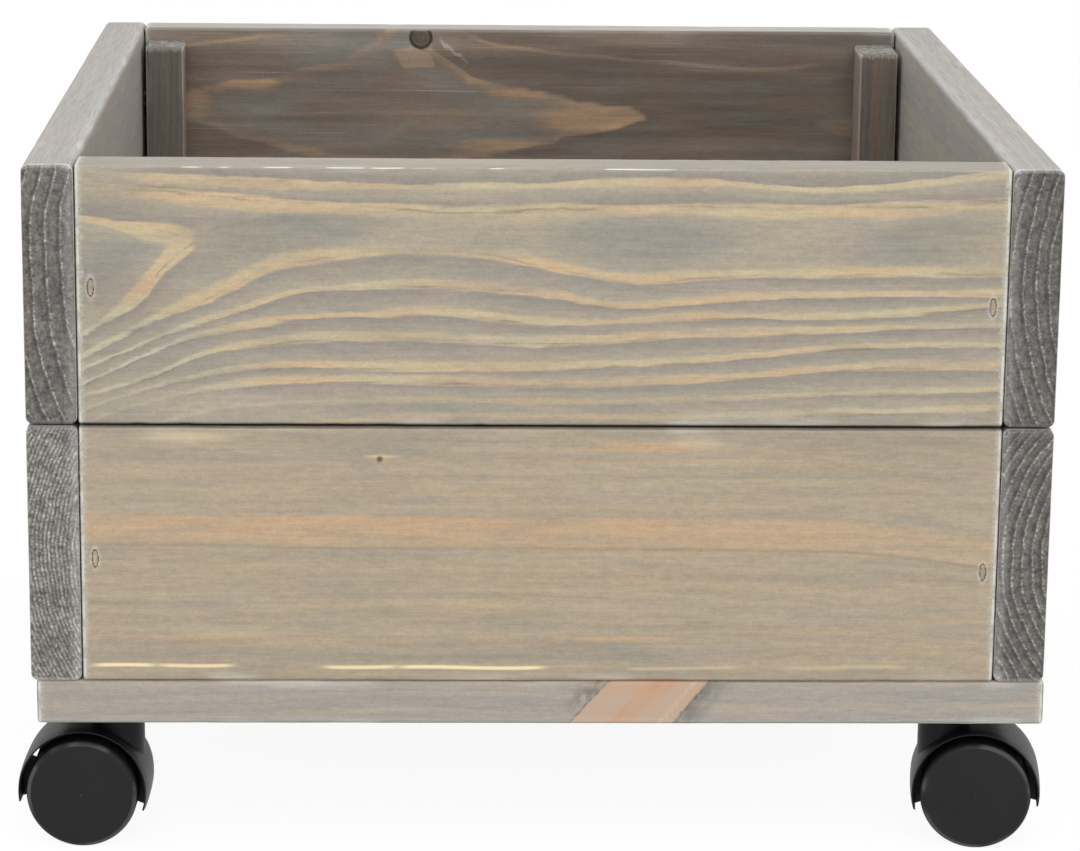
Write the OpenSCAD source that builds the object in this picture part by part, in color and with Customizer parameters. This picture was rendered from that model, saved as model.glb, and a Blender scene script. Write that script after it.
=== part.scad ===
// Rolling planter: two courses of planed boards round four corner battens, a slatted
// floor that drains, and four twin-wheel swivel casters.
// Frame: origin on the ground under the middle, +Z up, +X to the right, front at -Y.

/* [Box] */
// Outside width of the box, left to right
box_w = 380; // [300:1:500]
// Outside depth of the box, front to back
box_d = 380; // [300:1:500]
// Height of the upper course of boards
upper_board_h = 96.8; // [80:0.1:120]
// Height of the lower course of boards
lower_board_h = 98; // [80:0.1:120]
// Dark gap between the two courses
course_gap = 0.6; // [0.2:0.1:2]
// Thickness of the wall boards
board_t = 19; // [16:0.5:24]
// Radius of the planed long edges
edge_r = 2.5; // [1:0.5:4]
// Play between the end of a front or back board and the side board it meets
end_gap = 0.3; // [0.1:0.1:1]

/* [Corner battens] */
// Width of a batten, along the front and back boards
batten_w = 17; // [14:1:24]
// Depth of the two left battens, along the side boards
left_batten_d = 19; // [14:1:30]
// Depth of the two right battens, along the side boards
right_batten_d = 27; // [14:1:30]
// Drop from the rim to the top of a batten
batten_drop = 5.6; // [2:0.2:20]
// Gap between a batten and the side board next to it
batten_gap = 1.9; // [0.5:0.1:4]
// Radius of a batten's long edges
batten_edge_r = 1.2; // [0.5:0.1:2]

/* [Floor] */
// Thickness of the floor boards
floor_t = 17.2; // [12:0.1:22]
// Number of floor boards
floor_count = 4; // [3:1:5]
// Drainage gap between floor boards
floor_gap = 5; // [4:0.5:8]
// Setback of the floor boards from the faces of the box
floor_inset = 0.8; // [0.2:0.1:3]
// Sideways stray of the front floor board; the rear one strays as far the other way
floor_stray = 1.2; // [0:0.1:2]
// Radius of the floor boards' long edges
floor_edge_r = 1.8; // [0.5:0.1:3]

/* [Staples] */
// Length of a staple's crown
staple_crown = 5.6; // [4:0.1:12]
// Width of the staple wire
staple_wire_w = 1.2; // [0.8:0.1:2]
// Thickness of the staple wire
staple_wire_t = 1; // [0.6:0.1:1.6]
// Length of a staple's legs
staple_leg = 28; // [24:1:34]
// Distance of a staple from the corner of the box
staple_inset = 24.7; // [22:0.1:27]

/* [Screws] */
// Length of a floor screw
floor_screw_l = 38; // [30:1:45]
// Radius of a floor screw's shank
floor_screw_r = 1.75; // [1.5:0.05:2.5]
// Radius of a floor screw's countersunk head
floor_head_r = 3.3; // [3:0.1:4]
// Distance of a floor screw from the side face of the box
floor_screw_inset = 7.4; // [7:0.1:12]
// Distance of a floor screw from its board's edge
floor_screw_edge = 18; // [12:1:30]
// Length of a caster screw under its head
plate_screw_l = 14; // [10:1:16]
// Radius of a caster screw's shank
plate_screw_r = 1.7; // [1.4:0.1:2]
// Radius of a caster screw's pan head
plate_head_r = 3.4; // [3:0.1:4]
// Height of a caster screw's pan head
plate_head_h = 1.2; // [1:0.1:2.5]

/* [Caster layout] */
// Height of a caster, ground to the floor boards' underside
caster_h = 53; // [50:0.5:60]
// Sideways distance from the middle of the box to a swivel axis
swivel_x = 158.4; // [150:0.1:165]
// Front-to-back distance from the middle of the box to a swivel axis
swivel_y = 160.5; // [150:0.1:165]
// Distance from the swivel axis back to the wheel axle
trail = 12.8; // [10:0.1:16]
// Sideways stray of the front casters to the left and of the rear ones to the right
caster_stray = 1.4; // [0:0.1:2]
// Angle off square at which the front right and rear left casters stand
stray_turn = -7; // [-20:1:20]
// Angle off square at which the other two casters stand
slight_turn = -1.6; // [-20:0.1:20]

/* [Caster plate and stem] */
// Side of the square mounting plate
plate_w = 38; // [36:1:42]
// Thickness of the mounting plate
plate_t = 1.8; // [1.5:0.1:3]
// Corner radius of the mounting plate
plate_corner_r = 4; // [2:0.5:6]
// Spacing of the mounting plate's screw holes
plate_pitch = 28; // [26:0.5:30]
// Radius of the stem
stem_r = 3.5; // [3:0.1:3.6]
// Length of the stem below the plate
stem_l = 22; // [20:1:23]
// Radius of the stem's collar and of its riveted head
collar_r = 5.5; // [5:0.1:6]
// Clearance round the turning stem and round the axle in the wheels
running_gap = 0.05; // [0.01:0.01:0.1]

/* [Wheels] */
// Radius of a wheel
wheel_r = 21.1; // [20:0.1:21.5]
// Distance from the caster's middle to a wheel's outer face
wheel_out = 19; // [17:0.1:20]
// Distance from the caster's middle to the inner edge of a wheel's rim
wheel_in = 6.1; // [6:0.1:7]
// Radius of the rounded edge between tread and outer face
wheel_edge_r = 2.4; // [1:0.1:3]
// Rise of the domed outer face
wheel_dome = 1; // [0.2:0.1:2]
// Radius of the axle
axle_r = 2.5; // [2:0.1:3]

/* [Hood] */
// Inside radius of the hood over the wheels
hood_in_r = 23.7; // [23.3:0.1:24.5]
// Outside radius of the hood at its middle
hood_out_r = 24.9; // [24.7:0.1:27]
// Thickness of the hood at its two rims
hood_rim_t = 0.6; // [0.4:0.1:1.2]
// Half of the hood's width
hood_half_w = 15.5; // [14:0.5:17]
// Angle by which the hood reaches below the axle's height, on the side away from the stem
wrap_outer = 9; // [0:1:14]
// Angle by which the hood reaches below the axle's height, on the stem's side
wrap_inner = 17; // [0:1:20]
// Angle above the axle's height at which the window in the web begins
window_from = 22.5; // [10:0.5:30]
// Angle above the axle's height at which the window in the web ends
window_to = 37; // [32:0.5:60]
// Radius of the swivel boss on top of the hood
boss_r = 9.8; // [8:0.1:10]

/* [Hidden] */
$fn = 64;
arc_steps = 6;
eps = 0.05;
// How far solids that make up one piece run into each other
overlap = 1;

// The box
lower_z = caster_h + floor_t;
upper_z = lower_z + lower_board_h + course_gap;
rim_z = upper_z + upper_board_h;
butt_len = box_w - 2 * (board_t + end_gap);
floor_w = (box_d - 2 * floor_inset - (floor_count - 1) * floor_gap) / floor_count;
floor_len = box_w - 2 * floor_inset;
batten_x = box_w / 2 - board_t - batten_gap - batten_w / 2;

// Height of each staple above its board's lower edge: left and right end of each course
staple_z_upper = [51.4, 45.5];
staple_z_lower = [47.5, 43];
// The side boards' staples sit this much higher, clear of the others inside the batten
side_staple_rise = 14;

// Cone height of a countersunk floor screw
floor_head_h = floor_head_r - floor_screw_r;
// Tip of both kinds of screw
screw_tip = 3;
screw_point_r = 0.2;

// Caster details, measured from the wheel axle unless a name says otherwise
axle_drop = caster_h - wheel_r;
boss_gap = 0.8;
boss_top = axle_drop - plate_t - boss_gap;
stem_end = axle_drop - plate_t - stem_l;
stem_chamfer = 1;
rivet_land = 0.4;
collar_t = 0.55;
plate_hole_r = 2.1;
socket_wall = 2;
socket_r = stem_r + socket_wall;
socket_floor = 2.5;
socket_end_gap = 0.6;
web_half_t = 3;
axle_boss_r = 6.5;
axle_boss_half = 5.6;
// Bands of the hood's crown; an odd number keeps its middle level
crown_steps = 9;
rim_round = 0.3;
rim_power = 8;
hood_crown = hood_out_r - hood_in_r - hood_rim_t - rim_round;
// Angle by which the web reaches past each end of the shell
web_past = 4;

// The snap ring that holds the stem in its socket
ring_drop = 18;
ring_z = axle_drop - ring_drop;
ring_h = 1.2;
ring_bite = 0.6;
ring_out_r = stem_r + ring_bite;
groove_r = stem_r - ring_bite;
ring_split = 40;
recess_gap = 0.2;

// Inside of a wheel
tread_t = 3;
tread_chamfer = 0.8;
disc_t = 2.2;
hub_r = 5;
hub_in = 5.9;
bore_end = 16.3;
axle_half = 16;
axle_chamfer = 0.5;
lip_at = 8;
lip_w = 1;
lip_depth = 0.3;
groove_play = 0.1;
dome_steps = 6;

// Code of a corner, its side, its end, and the angle at which its caster stands
CORNERS = [
    ["front_left", -1, -1, 180 + slight_turn],
    ["front_right", 1, -1, stray_turn],
    ["rear_left", -1, 1, 180 + stray_turn],
    ["rear_right", 1, 1, slight_turn]
];
CASTER_PIECES = [
    "plate", "stem", "snap_ring", "hood", "axle", "front_wheel", "rear_wheel"
];
FLOOR_NAMES = [for (i = [1:floor_count]) str("floor_board_", i)];
BATTEN_NAMES = [for (c = CORNERS) str(c[0], "_batten")];
CASTER_NAMES = [for (c = CORNERS, p = CASTER_PIECES) str(c[0], "_caster_", p)];

wood = [0.66, 0.63, 0.57];
end_wood = [0.58, 0.56, 0.52];
batten_wood = [0.45, 0.41, 0.37];
brass = [0.72, 0.58, 0.33];
zinc = [0.72, 0.73, 0.74];
steel = [0.55, 0.56, 0.58];
black = [0.13, 0.13, 0.13];
charcoal = [0.19, 0.19, 0.20];

// ---- Shapes used by more than one piece ----

// Points on a circular arc from angle a0 to a1
function arc(cx, cy, r, a0, a1) =
    [for (i = [0:arc_steps]) let (a = a0 + (a1 - a0) * i / arc_steps)
        [cx + r * cos(a), cy + r * sin(a)]];

// Rounded rectangle round the origin
module rounded_rect(w, h, r) {
    polygon(concat(
        arc(w / 2 - r, h / 2 - r, r, 0, 90),
        arc(r - w / 2, h / 2 - r, r, 90, 180),
        arc(r - w / 2, r - h / 2, r, 180, 270),
        arc(w / 2 - r, r - h / 2, r, 270, 360)
    ));
}

// Plank lying along X, its lower edge at z = 0
module plank_x(len, t, h, r) {
    translate([0, 0, h / 2])
        rotate([90, 0, 90])
            linear_extrude(len, center = true) rounded_rect(t, h, r);
}

// Plank lying along Y, its lower edge at z = 0
module plank_y(len, t, h, r) {
    translate([0, 0, h / 2])
        rotate([90, 0, 0])
            linear_extrude(len, center = true) rounded_rect(t, h, r);
}

// Ring about the origin's Y axis, from angle a0 over an angle of sweep
module ring_about_y(in_r, out_r, half_w, a0, sweep) {
    rotate([90, 0, 0]) rotate([0, 0, a0])
        rotate_extrude(angle = sweep)
            translate([in_r, -half_w]) square([out_r - in_r, 2 * half_w]);
}

// Cylinder along the Y axis, from y0 to y1
module rod_y(r, y0, y1) {
    translate([0, y0, 0]) rotate([-90, 0, 0]) cylinder(r = r, h = y1 - y0);
}

// ---- Fasteners ----

// Staple driven along +Y, the outside of its upright crown at y = 0
module staple() {
    translate([-staple_wire_w / 2, 0, -staple_crown / 2]) {
        cube([staple_wire_w, staple_wire_t, staple_crown]);
        for (z = [0, staple_crown - staple_wire_t])
            translate([0, 0, z]) cube([staple_wire_w, staple_leg, staple_wire_t]);
    }
}

// One course of staples: one at each end of each of its four boards
module staple_course(z0, heights) {
    for (quarter = [0:3])
        rotate([0, 0, 90 * quarter])
            for (i = [0, 1])
                let (half_w = (quarter % 2 == 0 ? box_w : box_d) / 2,
                     half_d = (quarter % 2 == 0 ? box_d : box_w) / 2)
                translate([(2 * i - 1) * (half_w - staple_inset), -half_d,
                           z0 + heights[i] + side_staple_rise * (quarter % 2)])
                    staple();
}

module board_staples() {
    color(brass) {
        staple_course(lower_z, staple_z_lower);
        staple_course(upper_z, staple_z_upper);
    }
}

// Countersunk screw driven upwards, its flat head at z = 0
module floor_screw() {
    cylinder(r1 = floor_head_r, r2 = floor_screw_r, h = floor_head_h);
    cylinder(r = floor_screw_r, h = floor_screw_l - screw_tip);
    translate([0, 0, floor_screw_l - screw_tip])
        cylinder(r1 = floor_screw_r, r2 = screw_point_r, h = screw_tip);
}

module floor_screws() {
    color(steel)
        for (i = [0:floor_count - 1], s = [-1, 1], e = [-1, 1])
            translate([s * (box_w / 2 - floor_screw_inset),
                       floor_y(i) + e * (floor_w / 2 - floor_screw_edge), caster_h])
                floor_screw();
}

// Pan-head screw driven upwards, the underside of its head at z = 0
module plate_screw() {
    translate([0, 0, -plate_head_h]) cylinder(r = plate_head_r, h = plate_head_h);
    cylinder(r = plate_screw_r, h = plate_screw_l - screw_tip);
    translate([0, 0, plate_screw_l - screw_tip])
        cylinder(r1 = plate_screw_r, r2 = screw_point_r, h = screw_tip);
}

// The screws' places on one plate, in the caster's own frame
module at_plate_holes() {
    for (sx = [-1, 1], sy = [-1, 1])
        translate([sx * plate_pitch / 2, sy * plate_pitch / 2, 0]) children();
}

module caster_screws() {
    color(steel)
        for (c = CORNERS)
            at_corner(c) at_plate_holes()
                translate([0, 0, caster_h - plate_t]) plate_screw();
}

// ---- Wood ----

// Front board; the back board is the same piece turned round
module butt_board(z0, h, turn) {
    color(wood)
        difference() {
            rotate([0, 0, turn])
                translate([0, (board_t - box_d) / 2, z0])
                    plank_x(butt_len, board_t, h, edge_r);
            board_staples();
        }
}

// Side board, running the full depth so that its end grain shows at the front
module side_board(side, z0, h) {
    color(end_wood)
        difference() {
            translate([side * (box_w - board_t) / 2, 0, z0])
                plank_y(box_d, board_t, h, edge_r);
            board_staples();
            floor_screws();
        }
}

module upper_front_board() { butt_board(upper_z, upper_board_h, 0); }
module upper_back_board() { butt_board(upper_z, upper_board_h, 180); }
module upper_left_board() { side_board(-1, upper_z, upper_board_h); }
module upper_right_board() { side_board(1, upper_z, upper_board_h); }
module lower_front_board() { butt_board(lower_z, lower_board_h, 0); }
module lower_back_board() { butt_board(lower_z, lower_board_h, 180); }
module lower_left_board() { side_board(-1, lower_z, lower_board_h); }
module lower_right_board() { side_board(1, lower_z, lower_board_h); }

// Upright batten in one corner, touching the front or back board
module batten(c) {
    depth = c[1] < 0 ? left_batten_d : right_batten_d;
    color(batten_wood)
        difference() {
            translate([c[1] * batten_x, c[2] * (box_d / 2 - board_t - depth / 2), lower_z])
                linear_extrude(rim_z - batten_drop - lower_z)
                    rounded_rect(batten_w, depth, batten_edge_r);
            board_staples();
        }
}

// Middle of a floor board, counted from the front
function floor_y(i) = (i - (floor_count - 1) / 2) * (floor_w + floor_gap);

// Sideways place of a floor board
function floor_x(i) = floor_stray * cos(180 * i / (floor_count - 1));

module floor_board(i) {
    color(wood)
        difference() {
            translate([floor_x(i), floor_y(i), caster_h])
                plank_x(floor_len, floor_w, floor_t, floor_edge_r);
            floor_screws();
            caster_screws();
        }
}

// ---- Casters: in its own frame a caster's swivel axis is Z and its wheels trail to +X ----

// Place of the swivel on the ground plane, without the angle at which the caster stands
module at_corner(c) {
    translate([c[1] * swivel_x + c[2] * caster_stray, c[2] * swivel_y, 0]) children();
}

// The swivelling frame of one caster
module at_swivel(c) {
    at_corner(c) rotate([0, 0, c[3]]) children();
}

// The axle of one caster, its middle at the origin
module at_axle(c) {
    at_swivel(c) translate([trail, 0, wheel_r]) children();
}

// Square plate, fixed to the floor board, with a countersunk hole for the stem
module caster_plate(c) {
    color(zinc)
        difference() {
            at_corner(c) translate([0, 0, caster_h - plate_t])
                linear_extrude(plate_t) rounded_rect(plate_w, plate_w, plate_corner_r);
            at_corner(c) at_plate_holes()
                translate([0, 0, caster_h - plate_t - eps])
                    cylinder(r = plate_hole_r, h = plate_t + 2 * eps);
            caster_stem(c);
        }
}

// Stem riveted to the plate: flat head, collar, shank with a groove for the snap ring
module caster_stem(c) {
    top = caster_h;
    under = caster_h - plate_t;
    ring_mid = wheel_r + ring_z;
    head_h = collar_r - stem_r;
    color(zinc)
        at_corner(c)
            rotate_extrude() polygon([
                [0, top], [collar_r, top], [stem_r, top - min(head_h, plate_t - rivet_land)],
                [stem_r, under], [collar_r, under], [collar_r, under - collar_t],
                [stem_r, under - collar_t],
                [stem_r, ring_mid + ring_h / 2 + groove_play],
                [groove_r, ring_mid + ring_h / 2 + groove_play],
                [groove_r, ring_mid - ring_h / 2 - groove_play],
                [stem_r, ring_mid - ring_h / 2 - groove_play],
                [stem_r, under - stem_l + stem_chamfer],
                [stem_r - stem_chamfer, under - stem_l],
                [0, under - stem_l]
            ]);
}

// Split ring sprung into the stem's groove
module caster_snap_ring(c) {
    color(steel)
        at_corner(c) translate([0, 0, wheel_r + ring_z])
            rotate([0, 0, ring_split / 2])
                rotate_extrude(angle = 360 - ring_split)
                    translate([groove_r + running_gap, -ring_h / 2])
                        square([ring_out_r - groove_r - running_gap, ring_h]);
}

// The hood's shell: a crowned band over the wheels
module hood_shell() {
    crown = [for (i = [0:crown_steps]) let (u = 2 * i / crown_steps - 1)
        [hood_out_r - hood_crown * u * u - rim_round * pow(u, rim_power),
         -u * hood_half_w]];
    rotate([90, 0, 0]) rotate([0, 0, -wrap_outer])
        rotate_extrude(angle = 180 + wrap_outer + wrap_inner)
            polygon(concat(crown, [[hood_in_r, -hood_half_w], [hood_in_r, hood_half_w]]));
}

// Swivel boss: outside the wheels a full cylinder, between them a slim socket
module hood_boss() {
    difference() {
        translate([-trail, 0, 0]) cylinder(r = boss_r, h = boss_top);
        rod_y(hood_in_r, -boss_r - overlap, boss_r + overlap);
    }
    translate([-trail, 0, stem_end - socket_floor])
        cylinder(r = socket_r, h = boss_top - stem_end + socket_floor - overlap);
}

// Web between the wheels, from the axle out to the shell, with a window on the outer side
module hood_web() {
    for (part = [[-wrap_outer - web_past, window_from],
                 [window_to, 180 + wrap_inner + web_past]])
        ring_about_y(axle_boss_r - overlap, hood_in_r + overlap, web_half_t, part[0],
                     part[1] - part[0]);
    rod_y(axle_boss_r, -axle_boss_half, axle_boss_half);
}

module caster_hood(c) {
    color(charcoal)
        at_axle(c)
            difference() {
                union() {
                    hood_shell();
                    hood_boss();
                    hood_web();
                }
                translate([-trail, 0, stem_end - socket_end_gap])
                    cylinder(r = stem_r + running_gap, h = boss_top - stem_end + overlap);
                translate([-trail, 0, ring_z - ring_h / 2 - recess_gap])
                    cylinder(r = ring_out_r + recess_gap, h = ring_h + 2 * recess_gap);
                rod_y(axle_r, -axle_boss_half - eps, axle_boss_half + eps);
            }
}

// Axle pressed through the web, with a groove near each end for the wheels' lips
module caster_axle(c) {
    groove0 = lip_at - groove_play;
    groove1 = lip_at + lip_w + groove_play;
    groove_floor = axle_r - lip_depth;
    half = [
        [axle_r, groove0], [groove_floor, groove0], [groove_floor, groove1],
        [axle_r, groove1], [axle_r, axle_half - axle_chamfer],
        [axle_r - axle_chamfer, axle_half]
    ];
    mirrored = [for (i = [len(half) - 1:-1:0]) [half[i][0], -half[i][1]]];
    color(steel)
        at_axle(c) rotate([-90, 0, 0])
            rotate_extrude()
                polygon(concat([[0, -axle_half]], mirrored, half, [[0, axle_half]]));
}

// Cup-shaped wheel on the +Y side of the caster: domed outer disc, rim, and a hub whose
// lip snaps into the axle's groove
module wheel() {
    bore_r = axle_r + running_gap;
    lip_r = axle_r - lip_depth + running_gap;
    face_r = wheel_r - wheel_edge_r;
    edge_y = wheel_out - wheel_dome;
    disc_in = edge_y - disc_t;
    dome = [for (i = [0:dome_steps]) let (u = 1 - i / dome_steps)
        [u * face_r, wheel_out - wheel_dome * u * u]];
    rotate([-90, 0, 0])
        rotate_extrude() polygon(concat(
            [[bore_r, hub_in], [hub_r, hub_in], [hub_r, disc_in],
             [wheel_r - tread_t, disc_in], [wheel_r - tread_t, wheel_in],
             [wheel_r - tread_chamfer, wheel_in], [wheel_r, wheel_in + tread_chamfer]],
            arc(face_r, edge_y - wheel_edge_r, wheel_edge_r, 0, 90),
            dome,
            [[0, bore_end], [bore_r, bore_end],
             [bore_r, lip_at + lip_w], [lip_r, lip_at + lip_w],
             [lip_r, lip_at], [bore_r, lip_at]]
        ));
}

// Wheel of one caster on the front (end = -1) or rear (end = 1) side of its axle
module caster_wheel(c, end) {
    color(black)
        at_axle(c) rotate([0, 0, end * c[1] > 0 ? 0 : 180]) wheel();
}

// ---- The pieces ----

upper_front_board();
upper_back_board();
upper_left_board();
upper_right_board();
lower_front_board();
lower_back_board();
lower_left_board();
lower_right_board();
board_staples();
floor_screws();
caster_screws();
for (i = [0:floor_count - 1])
    floor_board(i);
for (c = CORNERS) {
    batten(c);
    caster_plate(c);
    caster_stem(c);
    caster_snap_ring(c);
    caster_hood(c);
    caster_axle(c);
    caster_wheel(c, -1);
    caster_wheel(c, 1);
}
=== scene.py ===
"""Rolling planter: stained softwood boards, corner battens, a slatted floor and four casters."""
import math

import bpy
import numpy as np
from mathutils import Matrix, Vector


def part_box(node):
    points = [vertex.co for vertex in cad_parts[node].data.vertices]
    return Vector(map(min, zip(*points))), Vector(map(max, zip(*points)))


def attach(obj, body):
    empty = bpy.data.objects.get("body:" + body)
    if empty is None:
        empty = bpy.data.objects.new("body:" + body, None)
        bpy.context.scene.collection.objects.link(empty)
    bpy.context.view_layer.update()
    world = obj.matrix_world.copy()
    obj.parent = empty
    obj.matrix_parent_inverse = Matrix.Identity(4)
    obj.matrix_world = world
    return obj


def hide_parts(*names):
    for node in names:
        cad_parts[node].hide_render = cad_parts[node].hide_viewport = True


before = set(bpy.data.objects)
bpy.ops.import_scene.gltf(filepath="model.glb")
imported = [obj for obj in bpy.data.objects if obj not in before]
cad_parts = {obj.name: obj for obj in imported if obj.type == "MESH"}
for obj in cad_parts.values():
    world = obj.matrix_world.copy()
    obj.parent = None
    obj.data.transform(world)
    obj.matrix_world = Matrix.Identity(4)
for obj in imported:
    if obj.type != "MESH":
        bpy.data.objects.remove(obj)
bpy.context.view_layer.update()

MM = 0.001
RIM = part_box("upper_front_board")[1].z / MM
X, Y, Z = np.eye(3)


# ---- Camera, floor and light, in metres, radians and watts ----

CAMERA_AT = (-0.0443, -1.5571, 0.5042)
CAMERA_YAW = -0.0318
CAMERA_PITCH = 0.2403
CAMERA_ROLL = 0.0112
LENS = 127.24
SENSOR_W = 36.0
FAR_END = 100
FLOOR_RADIUS = 14.0
FLOOR_SIDES = 48
FLOOR_GLOW = 0.925
FLOOR_SEEN = 0.10
FLOOR_GREY = 0.62
SKY_LEVEL = 0.74
KEY_LIGHT_W = 37.0
KEY_LIGHT_SIZE = 2.2
KEY_LIGHT_AT = (0.1, -2.3, 1.8)


def new_object(name, data):
    made = bpy.data.objects.new(name, data)
    bpy.context.scene.collection.objects.link(made)
    return made


def add_camera():
    """Camera at the photograph's viewing angle."""
    data = bpy.data.cameras.new("camera")
    data.lens = LENS
    data.sensor_width = SENSOR_W
    data.clip_end = FAR_END
    camera = new_object("camera", data)
    yaw = Matrix.Rotation(CAMERA_YAW, 4, "Z")
    pitch = Matrix.Rotation(math.pi / 2 - CAMERA_PITCH, 4, "X")
    roll = Matrix.Rotation(CAMERA_ROLL, 4, "Z")
    camera.matrix_world = Matrix.Translation(CAMERA_AT) @ yaw @ pitch @ roll
    bpy.context.scene.camera = camera


class Net:
    """A node tree that is built from short calls; sockets and plain values mix freely."""

    def __init__(self, tree):
        self.tree = tree
        tree.nodes.clear()

    def add(self, kind, inputs=None, **settings):
        node = self.tree.nodes.new("ShaderNode" + kind)
        for key, value in settings.items():
            setattr(node, key, value)
        for key, value in (inputs or {}).items():
            self.put(node.inputs[key], value)
        return node

    def put(self, socket, value):
        if isinstance(value, bpy.types.NodeSocket):
            self.tree.links.new(value, socket)
        else:
            socket.default_value = value

    def math(self, operation, a, b=0.0, c=0.0, clamp=False):
        node = self.add("Math", operation=operation, use_clamp=clamp)
        for socket, value in zip(node.inputs, (a, b, c)):
            self.put(socket, value)
        return node.outputs[0]

    def product(self, *values):
        total = values[0]
        for value in values[1:]:
            total = self.math("MULTIPLY", total, value)
        return total

    def shaded(self, colour, factor):
        """Colour times a plain number."""
        grey = self.add("CombineColor", {"Red": factor, "Green": factor, "Blue": factor})
        return self.mix(1.0, colour, grey.outputs[0], "MULTIPLY")

    def scaled(self, vector, factors):
        node = self.add("VectorMath", operation="MULTIPLY")
        self.put(node.inputs[0], vector)
        self.put(node.inputs[1], factors)
        return node.outputs[0]

    def noise(self, vector, detail=2.0, roughness=0.5, scale=1.0):
        inputs = {"Vector": vector, "Scale": scale, "Detail": detail, "Roughness": roughness}
        return self.add("TexNoise", inputs).outputs[0]

    def fall(self, value, low, high):
        return self.span(value, low, high, 1.0, 0.0)

    def span(self, value, low, high, to_low=0.0, to_high=1.0, smooth=True):
        inputs = {"Value": value, "From Min": low, "From Max": high,
                  "To Min": to_low, "To Max": to_high}
        kind = "SMOOTHSTEP" if smooth else "LINEAR"
        return self.add("MapRange", inputs, interpolation_type=kind).outputs[0]

    def mix(self, factor, a, b, blend="MIX"):
        node = self.add("Mix", data_type="RGBA", blend_type=blend)
        self.put(node.inputs[0], factor)
        self.put(node.inputs[6], a)
        self.put(node.inputs[7], b)
        return node.outputs[2]

    def ramp(self, factor, stops):
        node = self.add("ValToRGB", {"Fac": factor})
        elements = node.color_ramp.elements
        while len(elements) < len(stops):
            elements.new(0.5)
        for element, (place, colour) in zip(elements, stops):
            element.position = place
            element.color = rgb(*colour)
        return node.outputs[0]

    def attribute(self, name, kind="Fac"):
        return self.add("Attribute", attribute_name=name).outputs[kind]


def rgb(red, green, blue):
    """Linear colour of an 8-bit one."""
    def linear(value):
        value /= 255
        return value / 12.92 if value <= 0.04045 else ((value + 0.055) / 1.055) ** 2.4
    return (linear(red), linear(green), linear(blue), 1.0)


class Paint(Net):
    """The node tree of a new material."""

    def __init__(self, name):
        self.material = bpy.data.materials.new(name)
        self.material.use_nodes = True
        super().__init__(self.material.node_tree)

    def add_skin(self, colour, roughness, height, bump, **more):
        """Principled surface; bump is the strength and the distance in metres."""
        bumped = self.add("Bump", {"Strength": bump[0], "Distance": bump[1], "Height": height})
        skin = self.add("BsdfPrincipled", {
            "Base Color": colour, "Roughness": roughness, "Normal": bumped.outputs[0], **more})
        self.add("OutputMaterial", {"Surface": skin.outputs[0]})


def seen_directly(net):
    """1 for the camera's rays and for what metal and gloss show, 0 for rays that light."""
    rays = net.add("LightPath").outputs
    seen = net.math("MAXIMUM", rays["Is Camera Ray"], rays["Is Glossy Ray"])
    return net.math("MAXIMUM", seen, rays["Is Transmission Ray"])


def add_surroundings():
    """White all round."""
    bpy.context.scene.view_settings.view_transform = "Standard"
    world = bpy.data.worlds.new("surroundings")
    world.use_nodes = True
    bpy.context.scene.world = world
    net = Net(world.node_tree)
    strength = net.span(seen_directly(net), 0, 1, SKY_LEVEL, 1.0, smooth=False)
    sky = net.add("Background", {"Color": (1, 1, 1, 1), "Strength": strength})
    net.add("OutputWorld", {"Surface": sky.outputs[0]})


def add_floor():
    """Round floor that looks white and keeps the planter's soft shadow."""
    mesh = bpy.data.meshes.new("floor")
    ring = [(FLOOR_RADIUS * math.cos(a), FLOOR_RADIUS * math.sin(a), 0)
            for a in np.linspace(0, 2 * math.pi, FLOOR_SIDES, endpoint=False)]
    mesh.from_pydata(ring, [], [range(len(ring))])
    net = Paint("floor")
    seen = seen_directly(net)
    colour = net.mix(seen, (FLOOR_GREY,) * 3 + (1,), (FLOOR_SEEN,) * 3 + (1,))
    paint = net.add("BsdfDiffuse", {"Color": colour})
    glow = net.add("Emission", {"Strength": net.product(seen, FLOOR_GLOW)})
    both = net.add("AddShader", {0: paint.outputs[0], 1: glow.outputs[0]})
    net.add("OutputMaterial", {"Surface": both.outputs[0]})
    mesh.materials.append(net.material)
    new_object("floor", mesh)


def add_light():
    """One broad soft light in front and above."""
    lamp = bpy.data.lights.new("key_light", "AREA")
    lamp.energy = KEY_LIGHT_W
    lamp.size = KEY_LIGHT_SIZE
    light = new_object("key_light", lamp)
    light.location = KEY_LIGHT_AT
    light.rotation_euler = (-Vector(KEY_LIGHT_AT)).to_track_quat("-Z", "Y").to_euler()


# ---- Noise and curves worked out in Python ----

LATTICE = 64


def soft_noise(points, cell, seed):
    """Smooth noise from 0 to 1 at points (n, 3) in mm; cell is its grain size in each direction."""
    table = np.random.default_rng(seed).random((LATTICE,) * 3)
    place = points / np.asarray(cell, float)
    base = np.floor(place).astype(int)
    part = place - base
    part = part * part * (3 - 2 * part)
    total = np.zeros(len(points))
    for corner in np.ndindex(2, 2, 2):
        weight = np.prod(np.where(corner, part, 1 - part), axis=1)
        index = (base + corner) % LATTICE
        total += weight * table[index[:, 0], index[:, 1], index[:, 2]]
    return total


def curve(points, at):
    """Smooth curve through given (x, y) points, level beyond its ends."""
    xs, ys = np.array(points, float).T
    slopes = np.gradient(ys, xs)
    at = np.clip(at, xs[0], xs[-1])
    i = np.clip(np.searchsorted(xs, at, side="right") - 1, 0, len(xs) - 2)
    width = xs[i + 1] - xs[i]
    t = (at - xs[i]) / width
    return ((1 + 2 * t) * (1 - t) ** 2 * ys[i] + t * (1 - t) ** 2 * width * slopes[i]
            + t * t * (3 - 2 * t) * ys[i + 1] - t * t * (1 - t) * width * slopes[i + 1])


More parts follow.
